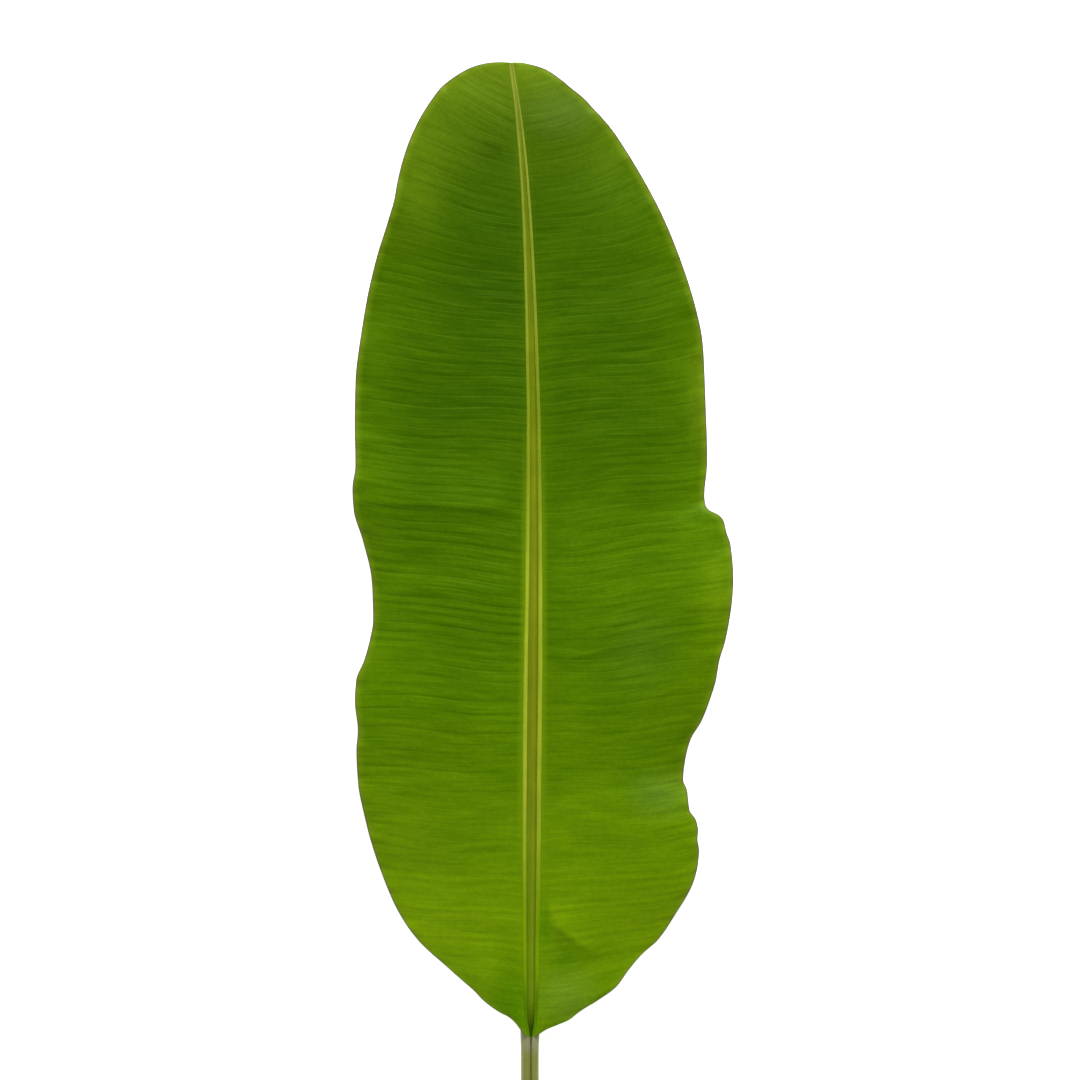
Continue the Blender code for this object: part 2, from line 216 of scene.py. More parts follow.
CHANNEL_OLIVE = (125, 139, 20)
CHANNEL_FOOT = (124, 156, 22)
CHANNEL_TIP = (108, 125, 14)
CHANNEL_WALL = (126, 146, 16)
CHANNEL_SHADE = (104, 128, 6)
# Painted shade at the foot of the groove, where it is narrow and deep.
CHANNEL_DEEP_SHADE = (70, 104, 0)
KEEL_GREEN = (140, 164, 82)
STALK_GREEN = (134, 140, 66)
# Pale bloom of the stalk, also used for painted sheen and painted light on it.
STALK_BLOOM_AND_LIGHT = (178, 174, 166)
SLIT_DARK = (146, 148, 58)
CUT_CREAM = (206, 208, 158)
CUT_RIND = (120, 134, 62)
LEAF_GLOSS = (0.75, 1.0, 0.35, 1.0)
TINT_SHARES = (1.25, 0.9, 1.25)
WHITE = (1.0, 1.0, 1.0, 1.0)
TABLE_WHITE = (0.80, 0.80, 0.80, 1.0)

# Where the colours change along the leaf, in the object's own metres. The blade's foot is at -0.401 and
# its tip at 0.569.
MARGIN_PALES = (-0.12, 0.08)
VEINS_GROW = (-0.28, -0.14)
VEINS_FADE = (0.30, 0.46)
GLOW_GROWS = (-0.30, -0.16)
GLOW_FADES = (0.05, 0.24)
RIM_DEEP_ENDS = (-0.37, -0.33)
RIM_FOOT_ENDS = (-0.30, -0.14)
RIM_UPPER_STARTS = (0.02, 0.20)
RIM_TIP_STARTS = (0.20, 0.50)
CHANNEL_DEEP_SHADE_ENDS = (-0.405, -0.355)
CHANNEL_FOOT_ENDS = (-0.38, -0.1)
CHANNEL_SHADE_ENDS = (-0.28, -0.20)
CHANNEL_TIP_STARTS = (0.05, 0.30)
CHANNEL_CLOSES = (0.48, 0.55)

# Widths of the bands of colour on the blade, in mm from its rim or its margin.
RIM_GLOW_WIDTH = (0.0, 7.0)
PALE_MARGIN_WIDTH = (4.0, 78.0)
YELLOW_MARGIN_WIDTH = (0.5, 9.0)
DRY_MARGIN_WIDTH = (0.3, 1.7)
DRY_UNDERSIDE_WIDTH = (0.5, 1.9)

# Stage: the table, the soft lights with their place, size and watts, and the camera.
TABLE_SIZE = 14.0
TABLE_GAP = 0.0004
TABLE_GLOW = 0.85
KEY_LIGHT = ((0.55, 3.35, 2.30), 1.7, 196.0)
FILL_LIGHT = ((-1.5, -1.4, 1.2), 1.4, 7.0)
LIT_POINT = (0.0, 0.09, 0.0)
SKY_HEIGHTS = (0.25, 0.80)
SKY_STRENGTHS = (0.62, 0.03)
CAMERA_PLACE = (-0.0017, 0.0932, 3.004)
LENS_MM = 100.0
SENSOR_MM = 36.0


def eased(table, column, stations):
    """One column of a table at the given stations, smooth between its rows and never past them."""
    x = np.array([row[0] for row in table], float)
    y = np.array([row[column] for row in table], float)
    gap = np.diff(x)
    slope = np.diff(y) / gap
    before, after = slope[:-1], slope[1:]
    near, far = 2 * gap[1:] + gap[:-1], gap[1:] + 2 * gap[:-1]
    turning = before * after <= 0
    with np.errstate(divide="ignore", invalid="ignore"):
        mean = (near + far) / (near / before + far / after)
    tangent = np.concatenate([slope[:1], np.where(turning, 0.0, mean), slope[-1:]])
    i = np.clip(np.searchsorted(x, stations) - 1, 0, len(gap) - 1)
    t = (stations - x[i]) / gap[i]
    return (
        (1 + 2 * t) * (1 - t) ** 2 * y[i]
        + t * (1 - t) ** 2 * gap[i] * tangent[i]
        + t * t * (3 - 2 * t) * y[i + 1]
        + t * t * (t - 1) * gap[i] * tangent[i + 1]
    )


def smooth_step(value, start, end):
    """0 below start, 1 above end, and an even S between them."""
    t = np.clip((value - start) / (end - start), 0.0, 1.0)
    return t * t * (3 - 2 * t)


def cross_folds(folds, stations, t):
    """Height that the crests and creases across one half of the blade add."""
    height = np.zeros_like(stations)
    for station, drift, crest, tip_width, foot_width, rounding, start, end in folds:
        away = stations - station - drift * t**2
        width = np.where(away > 0, tip_width, foot_width)
        rounded = np.sqrt(away**2 + rounding**2) - rounding
        cover = smooth_step(t, start, start + FOLD_FADE)
        cover = cover * (1 - smooth_step(t, end - FOLD_FADE, end + 0.02))
        height += crest * np.exp(-rounded / width) * cover
    return height


def puckers(x, y):
    """Height of the puckers: slanting crests that fall away gently up the leaf and steeply down it."""
    height = np.zeros_like(x)
    for (x0, y0), (x1, y1), crest, widths in PUCKERS:
        length = np.hypot(x1 - x0, y1 - y0)
        along = ((x - x0) * (x1 - x0) + (y - y0) * (y1 - y0)) / length
        across = ((x - x0) * (y0 - y1) + (y - y0) * (x1 - x0)) / length
        width = np.where(across > 0, *widths)
        cover = smooth_step(along, -8.0, 10.0) * (1 - smooth_step(along, length - 18.0, length + 8.0))
        rounded = np.sqrt(across**2 + PUCKER_ROUNDING**2) - PUCKER_ROUNDING
        height += crest * np.exp(-rounded / width) * cover
    return height


def vein_number(side, stations, out):
    """How many side veins come before a point, with a pitch that wanders as on a grown leaf."""
    turn = VEIN_TURNS[side]
    number = stations / VEIN_PITCH
    for reach, rate in VEIN_WANDER:
        number = number + reach * np.sin(rate * stations + turn)
        turn += 2.1
    return number + 0.16 * np.sin(0.045 * out + 0.013 * stations + turn)


def pleats(side, number, t):
    """Height of the pleats: round between two side veins, with a narrow groove on each vein."""
    rng = np.random.default_rng(PLEAT_SEEDS[side])
    veins = np.arange(-2, 110)
    draws = rng.uniform(*PLEAT_SPREAD, (3, len(veins)))
    near, far, turn = [np.interp(number, veins, row) for row in draws]
    strength = (near * (1 - t) + far * t) * (1 + 0.4 * np.sin(9.0 * t + 7.0 * turn))
    strength = strength * (0.72 + 0.28 * smooth_step(number, *FOOT_VEINS))
    deep = DEEP_GAIN * np.exp(-(((number - DEEPEST_VEIN) / DEEP_REACH) ** 2)) if side == LEFT else 0.0
    strength = strength * (PLEAT_SHARES[side] + deep)
    arch = np.sqrt(np.sin(np.pi * number) ** 2 + 0.02) - 0.62
    second = 0.22 * np.cos(6 * np.pi * number + 2.0 * t)
    cover = smooth_step(t, 0.0, 0.04) * (1 - 0.45 * smooth_step(t, 0.8, 1.0))
    cover = cover * (1 - PLEAT_TIP_LOSS[side] * smooth_step(number, *TIP_VEINS))
    return PLEAT_DEPTH * strength * (arch + second) * cover


def small_waves(side, stations, out, t):
    """The blade's shallow unevenness, and the finer ruffle of its margin."""
    rng = np.random.default_rng(WAVE_SEEDS[side])
    height = np.zeros_like(stations)
    off_rim, at_margin = smooth_step(t, 0.0, 0.3), smooth_step(t, 0.86, 1.0)
    for wavelength, reach in SHALLOW_WAVES:
        slant = rng.uniform(-0.35, 0.35)
        turn = rng.uniform(0, FULL_TURN)
        height += reach * off_rim * np.sin(FULL_TURN * (stations + slant * out) / wavelength + turn)
    for wavelength, reach in RUFFLE_WAVES:
        turn = rng.uniform(0, FULL_TURN)
        height += reach * at_margin * np.sin(FULL_TURN * stations / wavelength + turn)
    return height


def blade_surface(side, stations, t):
    """Upper face of one half of the blade, and each point's mm from rim, vein number and mm from margin."""
    left = side == LEFT
    margin, lie = (LEFT_MARGIN, LEFT_LIE) if left else (RIGHT_MARGIN, RIGHT_LIE)
    bend = LEFT_BEND if left else RIGHT_BEND
    gap, rim, depth, arch, rise = [eased(SECTIONS, c, stations) for c in (GAP, RIM, DEPTH, ARCH, RISE)]
    root_x = eased(MIDRIB_LINE, 1, stations) + side * (gap + rim - ROOT_SINK * smooth_step(-t, -0.02, 0))
    root_z = arch + depth - 0.15 * rim - 0.5 * np.minimum(ROOT_THICKNESS, 0.36 * depth)
    end_x = side * eased(margin, OUT, stations)
    end_y = eased(margin, UP, stations)
    end_z = eased(lie, HEIGHT, stations) + 0.45
    root_y = stations + TIP_FILL * smooth_step(stations, *TIP_FILL_STRETCH)
    span = np.hypot(end_x - root_x, end_y - root_y)
    x = root_x + (end_x - root_x) * t
    y = root_y + (end_y - root_y) * (2 * bend * t * (1 - t) + t * t)
    z = (
        (1 + 2 * t) * (1 - t) ** 2 * root_z
        + t * (1 - t) ** 2 * span * rise
        + t * t * (3 - 2 * t) * end_z
        + t * t * (t - 1) * span * eased(lie, SLOPE, stations)
    )
    z += cross_folds(LEFT_FOLDS if left else RIGHT_FOLDS, stations, t)
    if not left:
        z += puckers(x, y)
    out = span * t
    number = vein_number(side, stations, out)
    ends = smooth_step(stations, 0.0, 25.0) * (1 - smooth_step(stations, 950.0, 970.0))
    z += ends * (pleats(side, number, t) + small_waves(side, stations, out, t))
    z = np.maximum(z + 0.5 * SHEET_THICKNESS, SHEET_THICKNESS + 0.1)
    return np.stack([x, y, z], axis=-1), np.stack([out, number, span - out], axis=-1)


def rib_section(stations):
    """Closed section of stalk and midrib at each station, from the keel's foot up the right side, over
    the groove and down the left, and the bands of each point: rim, channel, keel."""
    columns = (GAP, GROOVE, HOLLOW, RIM, KEEL, DEPTH, ARCH)
    gap, groove, hollow, rim, keel, depth, arch = [eased(SECTIONS, c, stations) for c in columns]
    root = np.minimum(ROOT_THICKNESS, 0.36 * depth)
    outer = gap + rim + 0.2
    below = depth - 0.15 * rim - root
    nothing = np.zeros_like(gap)
    half = (
        (nothing, -depth, 0, 0, 1),
        (0.30 * keel, -depth, 0, 0, 1),
        (0.62 * keel, -depth + 0.07 * below, 0, 0, 1),
        (0.86 * keel, -depth + 0.22 * below, 0, 0, 1),
        (keel, -depth + 0.50 * below, 0, 0, 1),
        (0.94 * keel + 0.06 * outer, -depth + 0.70 * below, 0, 0, 1),
        (0.55 * keel + 0.45 * outer, -depth + 0.87 * below, 0, 0, 1),
        (outer, -0.15 * rim - root, 0, 0, 0.8),
        (outer - 0.1, -0.15 * rim - 0.45 * root, 0.5, 0, 0.3),
        (gap + 0.86 * rim, -0.10 * rim, 1, 0, 0),
        (gap + 0.45 * rim, 0.05 * rim, 1, 0, 0),
        (gap + 0.08 * rim, -0.04 * rim, 0.85, 0.1, 0),
        (0.35 * hollow + 0.65 * gap, -0.26 * groove, 0.25, 0.7, 0),
        (hollow, -0.66 * groove, 0, 1, 0),
        (0.72 * hollow, -0.90 * groove, 0, 0.9, 0),
        (nothing, -groove, 0, 0.8, 0),
    )
    right = [np.stack([np.broadcast_to(value, gap.shape) for value in point], -1) for point in half]
    left = [point * np.array([-1, 1, 1, 1, 1]) for point in right[-2:0:-1]]
    return np.stack(right + left, axis=1), arch + depth


def rib_surface(around, stations):
    """Points on the skin of stalk and midrib, and their bands."""
    line = np.unique(stations)
    section, top = rib_section(line)
    row = np.searchsorted(line, stations)
    count = section.shape[1]
    place = around * count
    i = np.floor(place).astype(int)
    f = (place - i)[:, None]
    p0, p1, p2, p3 = [section[row, (i + k) % count] for k in (-1, 0, 1, 2)]
    point = p1 + 0.5 * f * (p2 - p0 + f * (2 * p0 - 5 * p1 + 4 * p2 - p3 + f * (3 * (p1 - p2) + p3 - p0)))
    x, z = point[:, 0], point[:, 1]
    depth = eased(SECTIONS, DEPTH, stations)
    inner, outer = SLIT_HALF_WIDTH
    in_slit = smooth_step(-np.abs(x), -outer, -inner) * (z > -SLIT_DEPTH)
    x = x * (1 - 0.5 * smooth_step(-stations, *SLIT_CLOSES) * in_slit)
    lean = STALK_SHIFT * smooth_step(-stations, -60.0, 10.0) * np.clip(-2 * z / depth, 0, 1)
    height = np.maximum(top[row] + z, 0.0)
    points = np.stack([eased(MIDRIB_LINE, 1, stations) + x + lean, stations, height], -1)
    return points, np.clip(point[:, 2:], 0, 1)


def add_grid(name, across, along):
    """A flat sheet of faces to lay a surface on. Returns it with its points' places, 0 to 1 each way."""
    bpy.ops.object.select_all(action="DESELECT")
    bpy.ops.mesh.primitive_grid_add(x_subdivisions=across, y_subdivisions=along, size=1.0)
    sheet = bpy.context.active_object
    sheet.name = sheet.data.name = name
    flat = np.empty(len(sheet.data.vertices) * 3)
    sheet.data.vertices.foreach_get("co", flat)
    flat = flat.reshape(-1, 3) + 0.5
    return sheet, flat[:, 0], flat[:, 1]


def lay(sheet, points, bands, name):
    """Puts the sheet's points in place, given in millimetres, and keeps their bands for the material."""
    centre = np.array([*FOOTPRINT_CENTRE, 0.0])
    sheet.data.vertices.foreach_set("co", ((points - centre) * MM).ravel())
    attribute = sheet.data.attributes.new(name, "FLOAT_VECTOR", "POINT")
    attribute.data.foreach_set("vector", bands.astype(np.float32).ravel())
    sheet.data.update()


def apply_modifier(piece, kind, **settings):
    modifier = piece.modifiers.new(kind.lower(), kind)
    for key, value in settings.items():
        setattr(modifier, key, value)
    bpy.context.view_layer.objects.active = piece
    bpy.ops.object.modifier_apply(modifier=modifier.name)


def select_only(piece):
    bpy.ops.object.select_all(action="DESELECT")
    piece.select_set(True)
    bpy.context.view_layer.objects.active = piece


def select_edges(piece, wanted):
    """In edit mode, selects the edges whose middle passes the test."""
    bpy.ops.object.mode_set(mode="EDIT")
    bpy.ops.mesh.select_mode(type="EDGE")
    bpy.ops.mesh.select_all(action="DESELECT")
    bpy.ops.object.mode_set(mode="OBJECT")
    points = piece.data.vertices
    for edge in piece.data.edges:
        a, b = (points[i].co for i in edge.vertices)
        edge.select = wanted((a + b) / 2)
    bpy.ops.object.mode_set(mode="EDIT")


def make_blade_half(name, side, materials):
    """One half of the blade: a fine sheet, given its thickness downwards, with a rounded edge."""
    sheet, across, along = add_grid(name, BLADE_COLUMNS, BLADE_ROWS)
    t = across - COLUMN_CROWDING * np.sin(2 * np.pi * across)
    points, bands = blade_surface(side, along * BLADE_LENGTH, t)
    lay(sheet, points, bands, "leaf_lines")
    for material in materials:
        sheet.data.materials.append(material)
    if side == LEFT:
        bpy.ops.object.mode_set(mode="EDIT")
        bpy.ops.mesh.select_all(action="SELECT")
        bpy.ops.mesh.flip_normals()
        bpy.ops.object.mode_set(mode="OBJECT")
    apply_modifier(
        sheet,
        "SOLIDIFY",
        thickness=SHEET_THICKNESS * MM,
        offset=-1.0,
        material_offset=1,
        material_offset_rim=2,
    )
    apply_modifier(
        sheet,
        "BEVEL",
        width=MARGIN_ROUNDING * MM,
        segments=2,
        limit_method="ANGLE",
        angle_limit=math.radians(60),
    )
    select_only(sheet)
    bpy.ops.object.shade_smooth_by_angle(angle=math.radians(50))
    finish_piece(sheet)


def make_midrib(name, skin, cut):
    """Stalk and midrib: a sheet wrapped round their sections, with its seam merged and its ends closed."""
    sheet, across, along = add_grid(name, RIB_COLUMNS, RIB_ROWS)
    stations = STALK_FOOT + along * (BLADE_LENGTH + 1.5 - STALK_FOOT)
    points, bands = rib_surface(across % 1.0, np.minimum(stations, BLADE_LENGTH))
    points[:, 1] = stations
    lay(sheet, points, bands, "rib_bands")
    sheet.data.materials.append(skin)
    sheet.data.materials.append(cut)
    bpy.ops.object.mode_set(mode="EDIT")
    bpy.ops.mesh.select_all(action="SELECT")
    bpy.ops.mesh.remove_doubles(threshold=0.00001)
    bpy.ops.object.mode_set(mode="OBJECT")
    tip = (BLADE_LENGTH + 1.4 - FOOTPRINT_CENTRE[1]) * MM
    select_edges(sheet, lambda middle: middle.y > tip)
    bpy.ops.mesh.edge_face_add()
    bpy.ops.mesh.poke()
    bpy.ops.object.mode_set(mode="OBJECT")
    foot = (STALK_FOOT + 0.1 - FOOTPRINT_CENTRE[1]) * MM
    select_edges(sheet, lambda middle: middle.y < foot)
    bpy.ops.mesh.edge_face_add()
    sheet.active_material_index = 1
    bpy.ops.object.material_slot_assign()
    bpy.ops.mesh.inset(thickness=0.0005, depth=-0.0002)
    bpy.ops.mesh.select_all(action="SELECT")
    bpy.ops.mesh.normals_make_consistent(inside=False)
    bpy.ops.mesh.quads_convert_to_tris()
    bpy.ops.object.mode_set(mode="OBJECT")
    select_only(sheet)
    bpy.ops.object.shade_smooth_by_angle(angle=math.radians(55))
    finish_piece(sheet)


def finish_piece(piece):
    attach(piece, "root")
    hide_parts("banana_leaf")


def linear(colour):
    """A colour given as the eye sees it, 0 to 255, for a shader."""
    parts = [c / 255 for c in colour]
    return tuple(c / 12.92 if c <= 0.04045 else ((c + 0.055) / 1.055) ** 2.4 for c in parts) + (1.0,)


def feed(tree, socket, value):
    """Links another node's output to a socket, or sets the socket's own value."""
    if isinstance(value, bpy.types.NodeSocket):
        tree.links.new(value, socket)
    else:
        socket.default_value = value


def feed_all(tree, sockets, values):
    for socket, value in zip(sockets, values):
        feed(tree, socket, value)


def number_node(tree, operation, *values):
    node = tree.nodes.new("ShaderNodeMath")
    node.operation = operation
    feed_all(tree, node.inputs, values)
    return node.outputs[0]


def product(tree, first, second):
    return number_node(tree, "MULTIPLY", first, second)


def total(tree, first, second):
    return number_node(tree, "ADD", first, second)


def between(tree, value, low, high, start=0.0, end=1.0):
    """An even S from start, where the value is low, to end, where it is high."""
    node = tree.nodes.new("ShaderNodeMapRange")
    node.interpolation_type = "SMOOTHSTEP"
    feed_all(tree, node.inputs, (value, low, high, start, end))
    return node.outputs[0]


def colour_mix(tree, factor, first, second, mode="MIX"):
    """Two colours mixed. The node's colour sockets come after those for numbers and vectors."""
    node = tree.nodes.new("ShaderNodeMix")
    node.data_type = "RGBA"
    node.blend_type = mode
    feed(tree, node.inputs[0], factor)
    feed_all(tree, node.inputs[6:8], (first, second))
    return node.outputs[2]


def vector_node(tree, x, y, z):
    node = tree.nodes.new("ShaderNodeCombineXYZ")
    feed_all(tree, node.inputs, (x, y, z))
    return node.outputs[0]


def parts_of(tree, vector):
    node = tree.nodes.new("ShaderNodeSeparateXYZ")
    feed(tree, node.inputs[0], vector)
    return node.outputs[0], node.outputs[1], node.outputs[2]


def noise_node(tree, vector, scale, detail, roughness):
    node = tree.nodes.new("ShaderNodeTexNoise")
    feed(tree, node.inputs["Vector"], vector)
    feed(tree, node.inputs["Scale"], scale)
    node.inputs["Detail"].default_value = detail
    node.inputs["Roughness"].default_value = roughness
    return node.outputs["Fac"]


def new_group(name, inputs, outputs):
    """An empty shader node group with the named inputs and outputs, each name with its socket type."""
    group = bpy.data.node_groups.new(name, "ShaderNodeTree")
    for direction, sockets in (("INPUT", inputs), ("OUTPUT", outputs)):
        for socket_name, kind in sockets.items():
            group.interface.new_socket(socket_name, in_out=direction, socket_type="NodeSocket" + kind)
    return group, group.nodes.new("NodeGroupInput").outputs, group.nodes.new("NodeGroupOutput").inputs


def place_group(tree, group, **values):
    """Puts a group into a material with the given inputs, and returns the group's outputs."""
    node = tree.nodes.new("ShaderNodeGroup")
    node.node_tree = group
    for key, value in values.items():
        feed(tree, node.inputs[key], value)
    return node.outputs


def make_streaks():
    """Uneven tone drawn out along side veins or fibres: noise that is long one way and fine the other."""
    inputs = {"Lines": "Vector", "Length": "Float", "Count": "Float", "Seed": "Float"}
    group, given, out = new_group("fibre streaks", inputs, {"Tone": "Float"})
    along, across, _ = parts_of(group, given["Lines"])
    place = vector_node(
        group,
        number_node(group, "DIVIDE", along, given["Length"]),
        product(group, across, given["Count"]),
        given["Seed"],
    )
    tone = noise_node(group, place, 1.0, 3.0, 0.55)
    feed(group, out["Tone"], between(group, tone, 0.25, 0.75, -1.0, 1.0))
    return group


def make_vein_lines():
    """Thin lines on the side veins, some stronger than others, with finer ones between them."""
    inputs = {"Lines": "Vector", "Seed": "Float"}
    group, given, out = new_group("side veins", inputs, {"Line": "Float", "Height": "Float"})
    along, count, _ = parts_of(group, given["Lines"])

    def lines(times, sharp):
        phase = number_node(group, "FRACT", product(group, count, times))
        away = number_node(group, "ABSOLUTE", number_node(group, "SUBTRACT", phase, 0.5))
        return between(group, away, sharp, 0.5)

    def strength(stretch, rate, low, high):
        place = vector_node(
            group,
            number_node(group, "DIVIDE", along, stretch),
            product(group, count, rate),
            given["Seed"],
        )
        return between(group, noise_node(group, place, 1.0, 1.0, 0.5), low, high)

    main = product(group, lines(1.0, 0.40), strength(90.0, 0.83, 0.35, 0.68))
    middle = product(group, lines(2.0, 0.34), strength(50.0, 1.7, 0.42, 0.66))
    fine = product(group, lines(7.0, 0.22), strength(60.0, 2.3, 0.40, 0.70))
    main = number_node(group, "MAXIMUM", main, middle)
    feed(group, out["Line"], number_node(group, "MAXIMUM", main, product(group, fine, 0.45)))
    feed(group, out["Height"], total(group, main, product(group, fine, 0.5)))
    return group


def make_mottle():
    """Cloudy tone from -1 to 1 on the object's own directions."""
    group, given, out = new_group("mottle", {"Place": "Vector", "Size": "Float"}, {"Tone": "Float"})
    scale = number_node(group, "DIVIDE", 1.0, given["Size"])
    tone = noise_node(group, given["Place"], scale, 3.0, 0.55)
    feed(group, out["Tone"], between(group, tone, 0.3, 0.7, -1.0, 1.0))
    return group


def vector_math(tree, operation, *vectors):
    node = tree.nodes.new("ShaderNodeVectorMath")
    node.operation = operation
    feed_all(tree, node.inputs, vectors)
    return node.outputs


def make_patch():
    """A soft oval patch: 1 at its centre, 0 at its reach and beyond."""
    inputs = {"Place": "Vector", "Centre": "Vector", "Reach": "Vector"}
    group, given, out = new_group("soft patch", inputs, {"Mask": "Float"})
    away = vector_math(group, "SUBTRACT", given["Place"], given["Centre"])[0]
    scaled = vector_math(group, "DIVIDE", away, given["Reach"])[0]
    length = vector_math(group, "LENGTH", scaled)["Value"]
    feed(group, out["Mask"], between(group, length, 0.0, 1.0, 1.0, 0.0))
    return group


def make_tint():
    """A colour made lighter or darker by a tone, -1 to 1. Red moves furthest, so dark is deeper green."""
    inputs = {"Colour": "Color", "Tone": "Float", "Amount": "Float"}
    group, given, out = new_group("tint", inputs, {"Colour": "Color"})
    change = product(group, given["Tone"], given["Amount"])
    gain = group.nodes.new("ShaderNodeCombineColor")
    feed_all(group, gain.inputs, [total(group, 1.0, product(group, change, share)) for share in TINT_SHARES])
    feed(group, out["Colour"], colour_mix(group, 1.0, given["Colour"], gain.outputs[0], "MULTIPLY"))
    return group


STREAKS = make_streaks()
VEIN_LINES = make_vein_lines()
MOTTLE = make_mottle()
PATCH = make_patch()
TINT = make_tint()

# Soft patches of the upper face: centre and reach in mm, and tone or share. A patch also reaches this
# many metres up and down, so that the leaf's waves don't matter to it. Those marked below are painted
# light, shade and sheen.
PATCH_HEIGHT = 10.0
TONE_LIGHT_AND_SHADE_PATCHES = (
    # Painted light on the middle of the right half, which faces the light more than the left half.
    ((90, 480), (150, 95), 0.16),
    ((60, 340), (110, 80), -0.05),
    ((185, 440), (32, 80), 0.17),
    ((-90, 110), (110, 110), 0.20),
    ((38, 910), (60, 90), -0.18),
    ((-35, 780), (70, 180), -0.16),
    # Painted shade near the tip of the left half.
    ((-35, 880), (34, 30), -0.16),
    # Painted shade beside the midrib's foot on the left.
    ((-22, 75), (18, 80), -0.06),
    ((-45, 66), (26, 22), 0.08),
    ((14, 660), (18, 230), 0.17),
    ((-60, 742), (80, 40), -0.09),
    # Painted shade across the upper left half, beside the midrib.
    ((-80, 634), (110, 34), -0.14),
    ((150, 660), (44, 60), 0.08),
    ((40, 738), (36, 40), -0.10),
    ((80, 650), (110, 60), 0.05),
    ((-130, 225), (72, 110), 0.10),
    ((-118, 840), (34, 80), -0.06),
    ((34, 46), (44, 44), 0.10),
    # Painted shade along a crease of the left half.
    ((-85, 441), (100, 20), -0.09),
    ((-140, 415), (38, 34), -0.10),
    ((-40, 356), (38, 28), -0.08),
    ((-135, 298), (52, 28), 0.08),
    ((90, 257), (44, 24), -0.14),
    ((90, 205), (38, 17), 0.08),
    ((92, 130), (46, 42), 0.03),
    ((60, 410), (64, 20), 0.08),
    ((-60, 286), (100, 24), 0.05),
    # Painted shade below the fold of the left half, and above the crease of the right half.
    ((-36, 522), (34, 14), -0.07),
    ((145, 530), (36, 15), -0.09),
    ((-45, 948), (44, 32), -0.07),
    # Painted highlight along the crest of the largest pucker.
    ((21, 123), (4, 15), 0.10),
    ((26, 112), (6, 10), 0.10),
    ((34, 103), (10, 7), 0.10),
    ((46, 96), (14, 7), 0.07),
    # Painted shade on the lower side of the largest pucker.
    ((16, 104), (8, 14), -0.08),
    ((27, 93), (8, 9), -0.14),
    ((37, 82), (11, 9), -0.10),
    ((-80, 890), (64, 50), -0.05),
    # A short crease of the right half: its line of painted shade, then its line of painted light.
    ((26, 298), (11, 3), -0.20),
    ((30, 302), (16, 2.6), 0.12),
)
# Grey-green patches: painted sheen where the blade faces the light near the tip, by the notch of the right
# margin and towards the right margin, and a greyer tone right of the midrib's foot.
GREY_AND_SHEEN_PATCHES = (
    ((30, 925), (60, 40), 0.06),
    ((130, 240), (46, 34), 0.10),
    ((36, 40), (44, 46), 0.10),
    ((110, 385), (56, 60), 0.03),
)
# Yellow-green patches: bands by the margins, and painted highlight along the crest of the largest pucker
# (the last four).
YELLOW_AND_HIGHLIGHT_PATCHES = (
    ((-112, 850), (40, 100), 0.22),
    ((170, 640), (24, 90), 0.32),
    ((188, 440), (26, 70), 0.22),
    ((21, 124), (4, 15), 0.16),
    ((26, 113), (6, 10), 0.16),
    ((34, 104), (10, 7), 0.16),
    ((46, 96), (14, 7), 0.14),
)
# Deep green patches: one by the midrib's foot on the left, and painted shade on the lower side of the
# largest pucker (the last two).
DEEP_GREEN_AND_SHADE_PATCHES = (
    ((-20, 30), (30, 60), 0.80),
    ((14, 112), (9, 36), 0.70),
    ((34, 78), (22, 26), 0.60),
)


def new_material(name, roughness, specular, gloss=WHITE):
    material = bpy.data.materials.new(name)
    material.use_nodes = True
    shader = material.node_tree.nodes["Principled BSDF"].inputs
    shader["Roughness"].default_value = roughness
    shader["Specular IOR Level"].default_value = specular
    shader["Specular Tint"].default_value = gloss
    return material, material.node_tree, shader


def read_lines(tree, name):
    node = tree.nodes.new("ShaderNodeAttribute")
    node.attribute_name = name
    return node.outputs["Vector"]


def object_place(tree):
    return tree.nodes.new("ShaderNodeTexCoord").outputs["Object"]


def streaks(tree, lines, length, count, seed):
    return place_group(tree, STREAKS, Lines=lines, Length=length, Count=count, Seed=seed)["Tone"]


def mottle(tree, place, size):
    return place_group(tree, MOTTLE, Place=place, Size=size)["Tone"]


def tinted(tree, colour, tone, amount):
    return place_group(tree, TINT, Colour=colour, Tone=tone, Amount=amount)["Colour"]


def add_bump(tree, shader, height, distance):
    node = tree.nodes.new("ShaderNodeBump")
    node.inputs["Distance"].default_value = distance
    node.inputs["Strength"].default_value = 1.0
    feed(tree, node.inputs["Height"], height)
    feed(tree, shader["Normal"], node.outputs["Normal"])


def ground_colour(tree, along):
    """The upper face's green from foot to tip."""
    low = (0 - FOOTPRINT_CENTRE[1]) * MM
    high = (BLADE_LENGTH - FOOTPRINT_CENTRE[1]) * MM
    share = tree.nodes.new("ShaderNodeMapRange")
    feed_all(tree, share.inputs, (along, low, high, 0.0, 1.0))
    ramp = tree.nodes.new("ShaderNodeValToRGB")
    ramp.color_ramp.interpolation = "EASE"
    stops = ramp.color_ramp.elements
    for i, (position, colour) in enumerate(GROUND):
        stop = stops[i] if i < 2 else stops.new(position)
        stop.position = position
        stop.color = linear(colour)
    feed(tree, ramp.inputs[0], share.outputs[0])
    return ramp.outputs["Color"]


def add_patches(tree, colour, place, patches, other=None):
    """Adds soft patches of tone to a colour, or of another colour if one is given."""
    for centre, reach, amount in patches:
        middle = [(c - f) * MM for c, f in zip(centre, FOOTPRINT_CENTRE)]
        reach = (reach[0] * MM, reach[1] * MM, PATCH_HEIGHT)
        mask = place_group(tree, PATCH, Place=place, Centre=(*middle, 0.0), Reach=reach)["Mask"]
        if other is None:
            colour = tinted(tree, colour, mask, amount)
        else:
            colour = colour_mix(tree, product(tree, mask, amount), colour, linear(other))
    return colour


